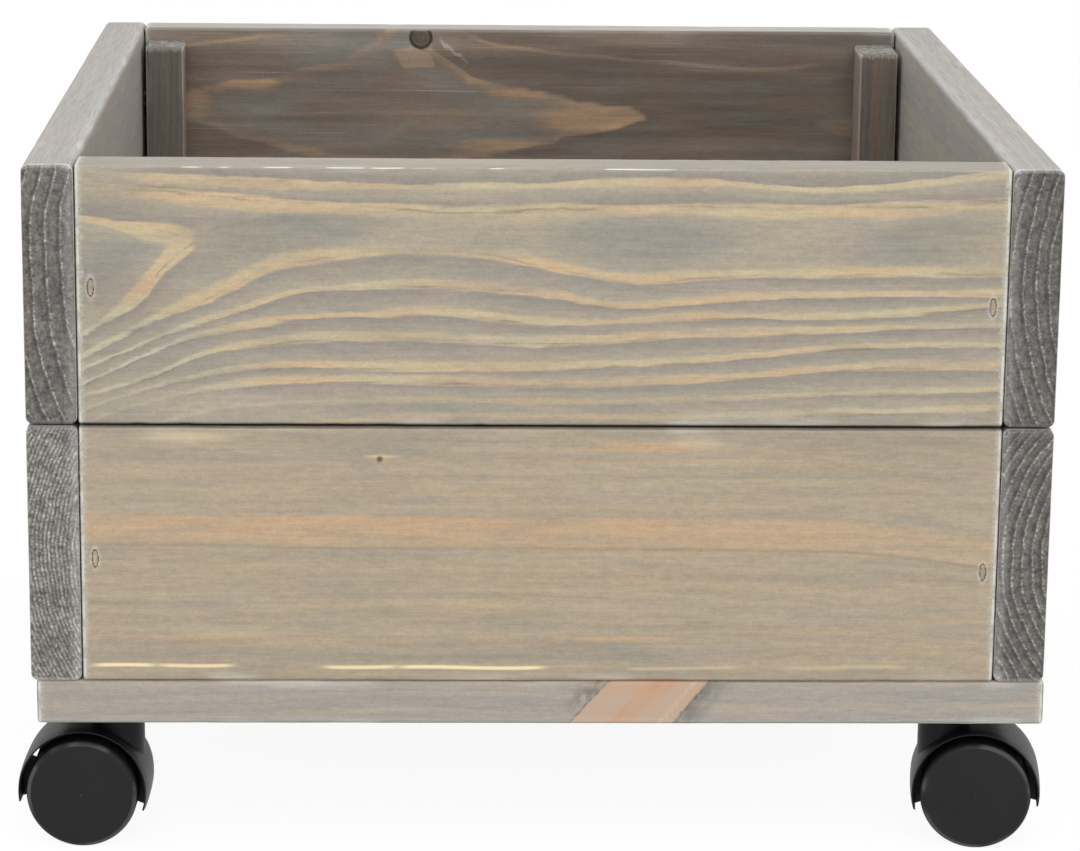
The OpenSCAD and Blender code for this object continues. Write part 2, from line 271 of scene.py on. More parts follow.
def ease(value, low, high):
    """Smooth step from 0 at low to 1 at high."""
    t = np.clip((value - low) / (high - low), 0, 1)
    return t * t * (3 - 2 * t)


def fall(value, low, high):
    """Smooth step from 1 at low to 0 at high."""
    return 1 - ease(value, low, high)


def outline_distance(points, x, y):
    """Signed distance from a closed outline: positive inside."""
    outline = np.array(points, float)
    best = np.full(len(x), 1e9)
    inside = np.zeros(len(x), bool)
    for (x0, y0), (x1, y1) in zip(outline, np.roll(outline, -1, axis=0)):
        dx, dy = x1 - x0, y1 - y0
        t = np.clip(((x - x0) * dx + (y - y0) * dy) / (dx * dx + dy * dy), 0, 1)
        best = np.minimum(best, np.hypot(x - x0 - t * dx, y - y0 - t * dy))
        crosses = (y0 > y) != (y1 > y)
        cut = x0 + (y - y0) * dx / (dy if dy else 1e-9)
        inside ^= crosses & (x < cut)
    return np.where(inside, best, -best)


# ---- Planks, in mm ----

END_EDGE = 0.7
END_LINES = (0.7 * END_EDGE, END_EDGE)
ROUND_STEPS = 4
THROUGH_STEP = 2.0
# Finer grid lines stay this far from the ends, and plain ones this far from the finer ones
FINE_MARGIN = 2.5
LINE_GAP = 0.2
# Depths below the surface at which the masks for its ends, faces and edges begin and end
END_REACH = 9
FACE_FADE = (1, 4)
NARROW_FADE = (0.2, 0.9)
END_GRAIN = (0.2, 0.65)
# Wear: width of the worn long edges, depths, and how pale they get
ARRIS_REACH = 5
WAVE_DEPTH = 0.08
DENT_DEPTH = 0.3
NICK_DEPTH = 0.05
ARRIS_PALE = 0.35
# Offsets that keep noise places positive, and one plank's grain apart from the next one's
NOISE_START = 500
GRAIN_START = 90


def box_mm(node):
    """Lower and upper corner of a CAD node's box."""
    return [np.array(corner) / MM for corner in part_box(node)]


def grid_lines(half, margin, beyond, step, fine):
    """Lines from -half to half: even up to the margin, some beyond it, closer at fine spots."""
    inner = half - margin
    count = max(2, int(round(2 * inner / step)))
    plain = list(np.linspace(-inner, inner, count + 1))
    plain += [sign * (inner + reach) for reach in beyond for sign in (-1, 1)]
    extra = [x for middle, reach, gap in fine
             for x in np.arange(middle - reach, middle + reach + gap / 2, gap)
             if abs(x) < half - FINE_MARGIN]
    kept = [x for x in plain if not extra or min(abs(x - e) for e in extra) > LINE_GAP]
    return np.array(sorted(kept + extra))


def box_surface(counts):
    """Grid points on the faces of a box of counts lines each way, and the quads on them."""
    faces = []
    for axis in range(3):
        u, v = (axis + 1) % 3, (axis + 2) % 3
        iu, iv = np.meshgrid(np.arange(counts[u] - 1), np.arange(counts[v] - 1), indexing="ij")
        for end in (0, counts[axis] - 1):
            order = ((0, 0), (1, 0), (1, 1), (0, 1)) if end else ((0, 0), (0, 1), (1, 1), (1, 0))
            quad = np.zeros((iu.size, 4, 3), int)
            quad[:, :, axis] = end
            for k, (du, dv) in enumerate(order):
                quad[:, k, u] = iu.ravel() + du
                quad[:, k, v] = iv.ravel() + dv
            faces.append(quad)
    quads = np.concatenate(faces)
    points, index = np.unique(quads.reshape(-1, 3), axis=0, return_inverse=True)
    return points, index.reshape(-1, 4)


class Plank:
    """One board in its own directions, in mm from its middle: a along the grain, b across
    the board and c through it, towards its outer or upper face. The FIELDS hold a value for
    each point, kept on the mesh for the wood material; depth is how far the surface sinks."""

    FIELDS = ("ring", "spacing", "width", "figure", "amber", "cool", "warm", "worn", "resin",
              "stain", "spike", "knot", "brown", "streaky", "shade", "end", "tone")

    def __init__(self, node, along, across, out, edge, step, seed, fine=()):
        self.node = node
        self.axes = np.array([along, across, out])
        low, high = box_mm(node)
        self.middle = (low + high) / 2
        self.half = np.abs(self.axes @ (high - low)) / 2
        self.edge = edge
        self.seed = seed
        fine_a = [(a, reach, gap) for a, b, reach, gap in fine if a is not None]
        fine_b = [(b, reach, gap) for a, b, reach, gap in fine if b is not None]
        turns = np.radians(45 * np.arange(1, ROUND_STEPS + 1) / ROUND_STEPS)
        beyond = edge * np.tan(turns)
        lines = [grid_lines(self.half[0], END_EDGE, END_LINES, step, fine_a),
                 grid_lines(self.half[1], edge, beyond, step, fine_b),
                 grid_lines(self.half[2], edge, beyond, max(step, THROUGH_STEP), [])]
        index, self.quads = box_surface([len(line) for line in lines])
        self.points = np.stack([lines[k][index[:, k]] for k in range(3)], axis=1)
        self.a, self.b, self.c = self.points.T
        self.inset = self.half - np.abs(self.points)
        self.up = self.b + self.middle[2] - RIM
        for name in self.FIELDS + ("depth",):
            setattr(self, name, np.zeros(len(self.points)))
        self.figure += 1
        self.tone += 1
        self.amber += 0.5
        self.end = np.minimum(self.inset[:, 0], END_REACH)
        self.set_spacing(5.0)

    def noise(self, cell, offset=0):
        return soft_noise(self.points + NOISE_START, cell, self.seed + offset)

    def on_face(self, sign=1):
        """1 on the outer face (or the inner one, for -1), falling to 0 behind it."""
        return fall(self.half[2] - sign * self.c, *FACE_FADE)

    def set_spacing(self, spacing, share=0.36):
        """Distance from ring to ring in mm, and the width of the amber band on each."""
        self.spacing = np.zeros(len(self.points)) + spacing
        self.width = share * self.spacing

    def narrow(self):
        """1 on the two narrow long faces, 0 on the wide ones."""
        return fall(self.inset[:, 1], *NARROW_FADE)

    def on_end(self):
        """1 on the two cut ends."""
        return fall(self.end, *END_GRAIN)

    def wear(self):
        """Slightly uneven faces and softly worn long edges."""
        arris = fall(self.inset[:, 1:].max(axis=1), 0, ARRIS_REACH)
        dents = np.maximum(self.noise((9, 30, 30), 1) - 0.66, 0)
        waves = self.noise((60, 9, 9), 2)
        nicks = self.noise((4, 3, 3), 3)
        self.depth += WAVE_DEPTH * waves + arris * (DENT_DEPTH * dents + NICK_DEPTH * nicks)
        pale = ease(self.noise((24, 40, 40), 4), 0.62, 0.85)
        self.worn += arris * pale * ARRIS_PALE

    def placed(self):
        """The points after rounding and wear, in metres in the row frame."""
        local = self.points.copy()
        inner = self.half[1:] - self.edge
        core = np.clip(local[:, 1:], -inner, inner)
        off = local[:, 1:] - core
        far = np.hypot(off[:, 0], off[:, 1])
        scale = np.divide(np.abs(off).max(axis=1), far, out=np.ones(len(far)), where=far > 0)
        local[:, 1:] = core + off * scale[:, None]
        past = np.clip(END_EDGE - self.inset[:, 0], 0, END_EDGE)
        shrink = past * (0.35 + 0.65 * past / END_EDGE)
        local[:, 1:] *= 1 - shrink[:, None] / self.half[1:]
        local[:, 1:] *= 1 - self.depth[:, None] / self.half[1:].max()
        outward = fall(self.inset, 0, np.array([0, self.edge, self.edge]) + 0.1)
        local -= self.depth[:, None] * np.sign(local) * outward
        return (self.middle + local @ self.axes) * MM

    def piece(self, body, slot, material):
        self.wear()
        mesh = bpy.data.meshes.new(self.node)
        mesh.from_pydata(self.placed().tolist(), [], self.quads.tolist())
        mesh.shade_smooth()
        for name in self.FIELDS:
            layer = mesh.attributes.new(name, "FLOAT", "POINT")
            layer.data.foreach_set("value", getattr(self, name).astype(np.float32))
        grain = (self.points + GRAIN_START * self.seed) * MM
        layer = mesh.attributes.new("grain", "FLOAT_VECTOR", "POINT")
        layer.data.foreach_set("vector", grain.astype(np.float32).ravel())
        mesh.materials.append(material)
        piece = new_object(self.node + "_wood", mesh)
        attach(piece, body)
        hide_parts(self.node)


def calm_edges(plank, worn):
    """Narrow faces, nearly without figure and paler: partly planed wood, partly a painted sheen."""
    narrow = plank.narrow()
    plank.figure *= 1 - 0.7 * narrow
    plank.cool += 0.4 * narrow
    # Paler narrow faces: partly planed wood, partly a painted sheen
    plank.worn += worn * narrow


def bulge(plank, x, up, reach_x, reach_up):
    """1 at a spot on a wall board, falling off to 0 at its reach."""
    spot = np.hypot((plank.a - x) / reach_x, (plank.up - up) / reach_up)
    return fall(spot, 0.25, 1)


def staple_mark(plank, a, b):
    """Crushed wood with a broken dark outline round a staple's crown."""
    oval = np.hypot((plank.a - a) / CRUSHED[0], (plank.b - b) / CRUSHED[1])
    face = plank.on_face()
    plank.depth += face * CRUSHED[2] * fall(oval, 0.7, 1.2)
    outline = ease(oval, 0.72, 0.92) * fall(oval, 1.12, 1.5)
    plank.stain = np.maximum(plank.stain, 0.62 * face * outline)
    plank.worn += 0.3 * face * fall(oval, 1.2, 2.2)


# ---- Wood ----

# Colours from 0 to 255: the ground from ring to ring, the bands, and what is laid over them
GREY_WOOD = dict(
    ground=[(0.0, (146, 138, 129)), (0.3, (151, 142, 131)), (0.55, (162, 153, 137)),
            (0.85, (170, 160, 141)), (1.0, (170, 160, 141))],
    plain=(170, 159, 139), cool=(146, 143, 133), pink=(170, 155, 146), brown=(146, 128, 114),
    amber=[(0.0, (198, 191, 165)), (0.5, (195, 180, 147)), (1.0, (201, 174, 139))],
    warm=(200, 166, 129), worn=(238, 235, 229), resin=(248, 229, 182),
    spike=(192, 166, 143), core=(194, 150, 116), dark=(92, 78, 62), fuzz=(186, 183, 169),
    cut=(101, 97, 93), cut_line=(158, 155, 150), cut_dark=(70, 67, 63))
SIDE_WOOD = dict(
    GREY_WOOD,
    ground=[(0.0, (151, 144, 138)), (0.4, (156, 148, 141)), (0.7, (166, 158, 149)),
            (1.0, (172, 163, 152))],
    plain=(170, 161, 150), cool=(151, 149, 145), pink=(170, 156, 149),
    amber=[(0.0, (192, 184, 166)), (0.5, (188, 173, 147)), (1.0, (194, 170, 141))],
    worn=(235, 234, 232))
BATTEN_WOOD = dict(
    GREY_WOOD,
    ground=[(0.0, (112, 104, 97)), (0.5, (132, 124, 116)), (1.0, (142, 134, 126))],
    plain=(136, 126, 118), cool=(126, 121, 117), pink=(140, 126, 118), brown=(112, 100, 91),
    amber=[(0.0, (150, 142, 134)), (0.5, (146, 136, 124)), (1.0, (150, 134, 116))],
    warm=(150, 124, 98), worn=(176, 170, 160), dark=(70, 60, 52),
    cut=(140, 135, 129), cut_line=(158, 154, 148), cut_dark=(118, 114, 109))
FLOOR_WOOD = dict(GREY_WOOD, plain=(171, 161, 149), cool=(154, 150, 145), pink=(178, 162, 150))


class Wood(Paint):
    """Stained, planed softwood, driven by the fields that each plank carries."""

    # Grains per metre along and across the board, and detail and roughness, of each noise
    NOISES = dict(
        ring_drift=(14, 90, 3), ring_jitter=(90, 500, 3, 0.65),
        long_streaks=(5, 260, 3, 0.62), blue_patches=(20, 80),
        pink_patches=(27, 120), cool_flecks=(110, 420),
        hue_drift=(34, 240), band_drift=(13, 110),
        band_flecks=(60, 700, 3, 0.6), edge_breaks=(30, 160, 3),
        warm_patches=(40, 260), fibre=(45, 1300, 2, 0.6),
        pores=(900, 1500, 2, 0.65), flecks=(230, 640, 2, 0.6),
        ripples=(24, 420, 2, 0.6), knot_border=(260, 500, 2, 0.6),
        knot_streaks=(500, 260), grit=(900, 900, 3, 0.72),
        blotches=(420, 420), clouds=(110, 110),
        torn_ends=(300, 1100, 2, 0.7), end_speckle=(900, 1100, 2, 0.7),
        worn_ends=(80, 160), scratches=(18, 1500),
        stain_blots=(1100, 1100, 2, 0.6))

    def __init__(self, name, palette):
        super().__init__(name)
        self.palette = palette
        self.grain = self.attribute("grain", "Vector")
        for field in Plank.FIELDS:
            setattr(self, field, self.attribute(field))
        self.on_end = self.fall(self.end, *END_GRAIN)
        self.fibre, self.pores, self.grit = map(self.wood_noise, ("fibre", "pores", "grit"))
        self.find_rings()
        colour = self.banded(self.stained())
        colour = self.knotted(self.fine_grained(colour))
        colour = self.marked(self.ended(colour))
        roughness = self.span(self.fibre, 0.2, 0.8, 0.52, 0.68, False)
        self.add_skin(colour, roughness, self.relief(), (0.35, 0.0004))

    def wood_noise(self, name):
        along, across, *look = self.NOISES[name]
        return self.noise(self.scaled(self.grain, (along, across, across)), *look)

    def swing(self, name, size):
        """A noise that swings by size about 0."""
        return self.math("MULTIPLY_ADD", self.wood_noise(name), size, -size / 2)

    def patches(self, name, low, high, to_low=0.0, to_high=1.0, smooth=True):
        return self.span(self.wood_noise(name), low, high, to_low, to_high, smooth)

    def tinted(self, colour, *layers):
        """Palette colours laid over a colour, each with its amount."""
        for amount, name in layers:
            colour = self.mix(amount, colour, rgb(*self.palette[name]))
        return colour

    def find_rings(self):
        """Place between two growth rings, and distance in mm from the nearest one's edge."""
        steady = self.span(self.on_end, 0, 1, 1.0, 0.35)
        jitter = self.product(self.swing("ring_jitter", 1.9), steady)
        shift = self.math("ADD", self.swing("ring_drift", 2.6), jitter)
        count = self.math("ADD", self.ring, self.math("DIVIDE", shift, self.spacing))
        self.between = self.math("FRACT", count)
        offset = self.math("SUBTRACT", self.math("FRACT", self.math("ADD", count, 0.5)), 0.5)
        self.gap = self.math("MULTIPLY", offset, self.spacing)

    def stained(self):
        """Ground colour between the rings, with long streaks and cool and pink patches."""
        ground = self.ramp(self.between, self.palette["ground"])
        colour = self.mix(self.figure, rgb(*self.palette["plain"]), ground)
        streaks = self.wood_noise("long_streaks")
        rosy = self.product(self.span(streaks, 0.5, 0.66, 0.0, 0.5), self.streaky)
        dusky = self.product(self.span(streaks, 0.34, 0.5, 0.5, 0.0), self.streaky)
        blue = self.patches("blue_patches", 0.50, 0.74, 0.0, 0.55)
        return self.tinted(colour, (self.brown, "brown"), (rosy, "warm"), (dusky, "brown"),
                           (self.math("ADD", blue, self.cool, clamp=True), "cool"),
                           (self.patches("pink_patches", 0.52, 0.75, 0.0, 0.5), "pink"),
                           (self.patches("cool_flecks", 0.5, 0.7, 0.0, 0.25), "cool"))

    def banded(self, colour):
        """Amber bands along the rings, thin dark lines beside them, and warm spots."""
        across = self.math("DIVIDE", self.gap, self.width)
        band = self.product(self.span(across, -0.80, -0.25), self.fall(across, 0.25, 0.50))
        hue = self.math("ADD", self.amber, self.swing("hue_drift", 0.7), clamp=True)
        vary = self.product(self.patches("band_drift", 0.30, 0.60, 0.50, 1.15),
                            self.patches("band_flecks", 0.3, 0.6, 0.70, 1.0))
        strength = self.math("MULTIPLY", self.product(self.figure, band), vary, clamp=True)
        colour = self.mix(strength, colour, self.ramp(hue, self.palette["amber"]))
        line = self.product(self.span(self.gap, 0.35, 0.75), self.fall(self.gap, 0.9, 1.6))
        broken = self.patches("edge_breaks", 0.45, 0.65, 0.0, 0.4)
        patchy = self.patches("warm_patches", 0.3, 0.65, 0.55, 1.0)
        return self.tinted(colour, (self.product(line, self.figure, broken), "dark"),
                           (self.math("MULTIPLY", self.warm, patchy, clamp=True), "warm"))

    def fine_grained(self, colour):
        """Pores, flecks and fibres, as small differences of tone."""
        return self.shaded(colour, self.product(
            self.span(self.pores, 0.28, 0.72, 0.92, 1.07, False),
            self.patches("flecks", 0.28, 0.72, 0.92, 1.07, False),
            self.span(self.fibre, 0.25, 0.75, 0.94, 1.05, False),
            self.patches("ripples", 0.28, 0.72, 0.94, 1.05, False)))

    def knotted(self, colour):
        """The floor board's spike knot inside its broken dark border."""
        ragged = self.math("ADD", self.spike, self.swing("knot_border", 0.25))
        inside = self.span(ragged, 0.52, 0.62)
        outside = self.math("SUBTRACT", 1.0, inside)
        border = self.product(self.span(ragged, 0.36, 0.48), outside, 0.8)
        streaks = self.patches("knot_streaks", 0.4, 0.65, 0.25, 0.75)
        return self.tinted(colour, (self.product(border, streaks), "dark"),
                           (self.product(inside, 0.85), "spike"),
                           (self.product(inside, self.knot), "core"))

    def near_gap(self, middle, low, high):
        """1 within low mm of a line that runs middle mm from a ring's edge, 0 from high mm."""
        off = self.math("SUBTRACT", self.gap, middle)
        return self.fall(self.math("ABSOLUTE", off), low, high)

    def cut_end(self):
        """End grain: pale and dark lines, blotches and a coarse grit."""
        dark_line = self.product(self.near_gap(0.95, 0.3, 1.0), 0.7)
        clear = self.span(self.spacing, 1.6, 4.5, 0.45, 0.8)
        pale_line = self.product(self.near_gap(-0.1, 0.1, 0.6), self.span(self.grit, 0.35, 0.6),
                                 clear)
        colour = self.tinted(rgb(*self.palette["cut"]), (dark_line, "cut_dark"),
                             (pale_line, "cut_line"))
        return self.shaded(colour, self.product(
            self.span(self.grit, 0.3, 0.7, 0.52, 1.54, False),
            self.patches("blotches", 0.3, 0.7, 0.56, 1.44, False),
            self.patches("clouds", 0.3, 0.7, 0.82, 1.18, False)))

    def ended(self, colour):
        """Torn and worn fibres near the cut ends, scratches, and the end grain itself."""
        torn = self.math("ADD", self.end, self.swing("torn_ends", 4.8))
        fuzz = self.product(self.fall(torn, 1.6, 3.2),
                            self.patches("end_speckle", 0.35, 0.6, 0.15, 0.95))
        worn_end = self.product(self.fall(self.end, 1.1, 1.7),
                                self.patches("worn_ends", 0.35, 0.55, 0.1, 0.55))
        scratch = self.product(self.brown, self.patches("scratches", 0.64, 0.74, 0.0, 0.3))
        colour = self.tinted(colour, (fuzz, "fuzz"), (worn_end, "worn"), (scratch, "worn"))
        return self.mix(self.on_end, colour, self.cut_end())

    def marked(self, colour):
        """Worn places with painted highlights and sheen, resin, stains, dark marks, and each
        board's tone, which also holds painted light and shade.
        """
        patchy = self.span(self.fibre, 0.3, 0.6, 0.35, 1.1)
        worn = self.math("MULTIPLY", self.worn, patchy, clamp=True)
        blot = self.math("ADD", self.stain, self.swing("stain_blots", 0.9))
        stain = self.product(self.span(blot, 0.35, 0.6), self.span(self.stain, 0.0, 0.1), 0.9)
        # The pale colour is real wear in places, and painted highlight and sheen in others
        colour = self.tinted(colour, (worn, "worn"), (self.resin, "resin"), (stain, "dark"),
                             (self.shade, "dark"))
        # Tone is each board's own tone, and also painted light and shade
        return self.shaded(colour, self.tone)

    def relief(self):
        """Height of the fine relief, rougher on the cut ends."""
        height = self.math("ADD", self.product(self.fibre, 0.5), self.product(self.pores, 0.4))
        return self.math("ADD", height, self.product(self.grit, self.on_end, 1.6))


# ---- The boards ----

# Crushed wood round a staple: half its width and height, and its depth
CRUSHED = (1.15, 2.9, 0.4)
# Reach of the finer grid lines there, and the gap between them
STAPLE_FINE = (4.2, 0.4)
HALF_FRONT = 171

# Grain of the upper front board: growth rings in order from the middle of the figure, each
# with its amber band's width and (x, height from the rim) points, in mm
RINGS_ABOVE = [
    (2.4, [(-171, 6), (-60, 2.5), (60, 4), (171, 7.1)]),
    (3.0, [(-171, -1.6), (-150, -3.6), (-108, -5.9), (-60, -7.1), (-9, -7.1), (56, -5),
           (108, -7.6), (134, -5.5), (171, -1)]),
    (5.6, [(-171, -7.5), (-133, -10.9), (-100, -13.9), (-60, -16.3), (-30, -18.1),
           (0, -16.6), (57, -15.1), (109, -15.5), (171, -12.1)]),
]
RINGS_BELOW = [
    (5.2, [(-171, -72.6), (-151, -61.9), (-134, -53.2), (-117, -45.8), (-100, -37.3),
           (-83, -33.5), (-60, -30.6), (-42, -30), (-17, -32.1), (8, -37.6), (33, -41.8),
           (57, -40.3), (109, -38.8), (171, -37.9)]),
    (3.0, [(-171, -76.6), (-134, -61.5), (-108, -52.2), (-91, -46.6), (-74, -45.3),
           (-50, -43.7), (-25, -44.6), (4, -47.4), (25, -51), (57, -49.4), (83, -47.6),
           (171, -46.6)]),
    (2.8, [(-171, -82.7), (-134, -65.7), (-108, -59.3), (-83, -56), (-60, -55.4),
           (-42, -54), (-9, -57.5), (17, -58.2), (57, -55.4), (118, -54.7), (171, -50.9)]),
    (2.9, [(-171, -87.2), (-142, -77.6), (-125, -70.1), (-100, -65.2), (-60, -63.1),
           (-8, -65.1), (9, -65), (58, -61.7), (110, -60), (171, -58.2)]),
    (3.4, [(-171, -92.2), (-142, -82.2), (-117, -76.6), (-100, -74.6), (-60, -75), (-8, -74.5),
           (58, -71.6), (110, -66.5), (171, -65.3)]),
    (3.4, [(-171, -96.8), (-134, -85.5), (-117, -82), (-91, -79.9), (-60, -79.8), (26, -80.8),
           (58, -78.8), (119, -74), (171, -73.6)]),
    (2.6, [(-171, -104.8), (-117, -90.7), (-60, -87.2), (26, -87.7), (100, -84.7),
           (171, -82.2)]),
    (2.8, [(-171, -110.9), (-60, -94.2), (40, -93.7), (171, -89.7)]),
    (2.6, [(-171, -118.9), (0, -101.8), (171, -97.8)]),
]
# The arrow-shaped ring at the left, its point and its upper and lower limb
ARROW_WIDTH = 8.2
ARROW_TIP = (-127.8, -27.6)
ARROW_ABOVE = [(-171, -19.1), (-154, -22.2), (-142, -24.6), (-134, -26.2), ARROW_TIP]
ARROW_BELOW = [(-171, -64.5), (-168, -63), (-155, -54.2), (-146, -46.9), (-139, -37.3),
               ARROW_TIP]
MIDDLE = [(-171, -40.3), (-150, -34.3), ARROW_TIP, (-90, -24.2), (-40, -24.7),
          (20, -27.2), (80, -27.2), (171, -25.2)]
# Grey-blue spots: x, height from the rim, reach each way, strength
COOL_SPOTS = [(-97, -24, 44, 13, 0.6), (37, -26.4, 50, 12.5, 0.95), (130, -31, 34, 9, 0.7),
              (-20, -39, 26, 4, 0.5), (-158, -35, 18, 12, 0.45), (-140, -70, 34, 14, 0.3),
              (-8, -48, 26, 5, 0.45), (-40, -89, 60, 6, 0.3)]
# Painted highlights, short bright dashes on the top front edge: left end, right end, strength
HIGHLIGHT_DASHES = [(-133, -124, 1), (-119, -113.5, 0.8), (-103, -91, 1), (-80, -65, 1.2), (-64, -50, 1.2),
          (-50, -38, 0.4), (-21, -14, 0.9), (10, 14, 0.4), (21, 49, 1)]


def rings_of_front(x):
    """The upper front board's rings from the top down, with the arrow's two limbs and the
    middle between them: ring count, band width and height of each at x."""
    past_tip = x - ARROW_TIP[0]
    tail = past_tip < 0
    middle = curve(MIDDLE, x)
    core = np.where(tail, -0.85 * ease(-past_tip, 0, 34), 0.5 * ease(past_tip, 0, 70))
    edge = np.where(tail, 0, core)
    lower = ARROW_WIDTH * (1 - 0.5 * ease(-past_tip, 6, 34))
    upper = lower * (1 - 0.45 * ease(-past_tip, 10, 30))
    rings = [(3 - i, width, curve(points, x)) for i, (width, points) in enumerate(RINGS_ABOVE)]
    rings += [(edge, upper, np.where(tail, curve(ARROW_ABOVE, x), middle)),
              (core, lower, middle),
              (edge, lower, np.where(tail, curve(ARROW_BELOW, x), middle))]
    rings += [(i + 1, width, curve(points, x)) for i, (width, points) in enumerate(RINGS_BELOW)]
    return rings


def fill_rings(plank, x, height):
    """Ring count, spacing and band width everywhere, from the listed rings."""
    rings = rings_of_front(x)
    count = np.zeros(len(x)) + rings[0][0]
    spacing = np.full(len(x), 8.0)
    nearest = np.full(len(x), 1e9)
    for i, (count1, width, z1) in enumerate(rings):
        if i:
            t = np.clip((z0 - height) / np.maximum(z0 - z1, 1e-3), 0, 1)
            here = (height <= z0) & (height > z1)
            count = np.where(height <= z0, count0 + t * (count1 - count0), count)
            steps = np.maximum(np.abs(count1 - count0), 0.12)
            spacing = np.where(here, np.clip((z0 - z1) / steps, 2, 26), spacing)
        closer = np.abs(height - z1) < nearest
        nearest = np.where(closer, np.abs(height - z1), nearest)
        swell = soft_noise(np.stack([x, 0 * x + 37 * i, 0 * x], 1), (26, 9, 9), 70)
        plank.width = np.where(closer, width * (0.6 + 0.7 * swell), plank.width)
        count0, z0 = count1, z1
    plank.ring = count + 20
    plank.spacing = spacing


def upper_front(plank):
    """Bands that fan out from the lower left, an arrow-shaped ring, and painted highlights along
    the top edge.
    """
    x = np.clip(plank.a, -HALF_FRONT, HALF_FRONT)
    height = plank.up + 0.12 * (plank.half[2] - plank.c)
    fill_rings(plank, x, height)
    fan = ease(-x, 95, 150) * ease(-height, 45, 62)
    plank.width *= (1 - 0.55 * fan) * (1.18 - 0.2 * ease(x, 30, 90))
    past_tip = x - ARROW_TIP[0]
    between = ease(past_tip, -1, 3) * fall(np.abs(height - curve(MIDDLE, x)), 4, 9)
    plank.figure *= 1 - between
    plank.figure += 0.5 * bulge(plank, -150, -36, 42, 38) * (past_tip < 0)
    plank.figure *= 1 - 0.25 * fan
    plank.figure *= 1 - 0.8 * ease(-x, 132, 160) * ease(height, -15, -12)
    plank.figure *= 1 - 0.6 * ease(-height, 82, 87) * (1 - 0.5 * ease(x, 60, 110))
    tint = soft_noise(np.stack([x, height, 0 * x], 1), (30, 9, 9), 71)
    plank.amber = (0.35 + 0.75 * tint) * (1 - fan)
    for *spot, strength in COOL_SPOTS:
        plank.cool = np.maximum(plank.cool, strength * bulge(plank, *spot))
    # Painted highlights: short near-white dashes along the top front edge
    arris = plank.narrow() * fall(plank.half[2] - plank.c, 0.5, 0.9)
    arris *= ease(plank.half[1] - plank.b, 0.1, 0.35)
    for left, right, strength in HIGHLIGHT_DASHES:
        highlight_dash = ease(plank.a, left, left + 3) * fall(plank.a, right - 3, right)
        plank.worn += 2.5 * strength * arris * highlight_dash * (plank.b > 0)
    plank.figure *= 1 - 0.5 * plank.on_face(-1)
    calm_edges(plank, 0.10)


# Rounding of each kind of plank's long edges, and grid steps
FRONT_EDGE = 1.4
SIDE_EDGE = 2.6
BATTEN_EDGE = 1.0
BATTEN_STEP = 2.0
FLOOR_EDGE = 1.6
FLOOR_STEP = 2.4
# Share by which the two narrow faces at the seam are darkened, as painted shade in the gap between
# the boards
SEAM_PAINTED_SHADE = 0.5


def wall_axes(turn):
    """Along, up and outwards, for a wall board seen from outside."""
    along = np.array([round(math.cos(turn)), round(math.sin(turn)), 0.0])
    return along, Z, np.array([along[1], -along[0], 0.0])


def staples_on(node, turn):
    """Crowns of the frame's own staples in one board, as (a, b) places in its directions."""
    along, _, out = wall_axes(turn)
    low, high = box_mm(node)
    points = np.array([v.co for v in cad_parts["board_staples"].data.vertices]) / MM
    outwards = points @ out
    face = points[(outwards > outwards.max() - 0.05)
                  & (low[2] < points[:, 2]) & (points[:, 2] < high[2])]
    spots = []
    for side in (-1, 1):
        crown = face[np.sign(face @ along) == side]
        middle = (crown.min(0) + crown.max(0)) / 2 - (low + high) / 2
        spots.append((float(along @ middle), float(middle[2])))
    return spots


# Bright resin streaks of the lower front board: left and right end, height from the rim,
# strength; and its pin knot: x, height from the rim, radius
RESIN_STREAKS = [(-170, -140, -189.4, 1.0), (-146, -111, -189.3, 0.85), (-84, -50, -189.8, 0.9),
                 (-56, 5, -190.0, 1.0), (30, 78, -190.2, 0.25), (88, 140, -189.8, 0.2)]
PIN_KNOT = (-59.9, -109.6, 1.4)
# Warm, dull and yellow spots there: x, height from the rim, reach each way, strength
WARM_SPOTS = [(38, -104.4, 30, 3.4, 0.6), (100, -174.9, 60, 2, 0.2),
              (-120, -150.9, 60, 12, 0.10), (20, -152.9, 90, 16, 0.12),
              (-60, -120.9, 90, 9, 0.10), (60, -127.9, 120, 1.2, 0.25),
              (28, -178.7, 36, 0.9, 0.8), (-30, -178.5, 46, 0.8, 0.4),
              (-130, -177.9, 34, 1.6, 0.25), (-59.9, -109.6, 5, 2.4, 0.5)]
DULL_SPOTS = [(-150, -182.9, 60, 6, 0.5), (-10, -184.4, 170, 6, 0.65),
              (-90, -112.9, 80, 9, 0.2), (-70, -100.4, 60, 3.4, 0.6),
              (120, -101.9, 70, 4, 0.5), (120, -115.9, 60, 6, 0.25),
              (-70, -146.9, 60, 3, 0.3), (-66, -112.4, 8, 3, 0.6)]
YELLOW_SPOTS = [(-132, -101.5, 24, 2.6, 0.32), (58, -103.1, 15, 2.6, 0.25),
                (-59, -108.5, 10, 0.9, 0.35), (-115, -176.9, 26, 1.2, 0.16)]


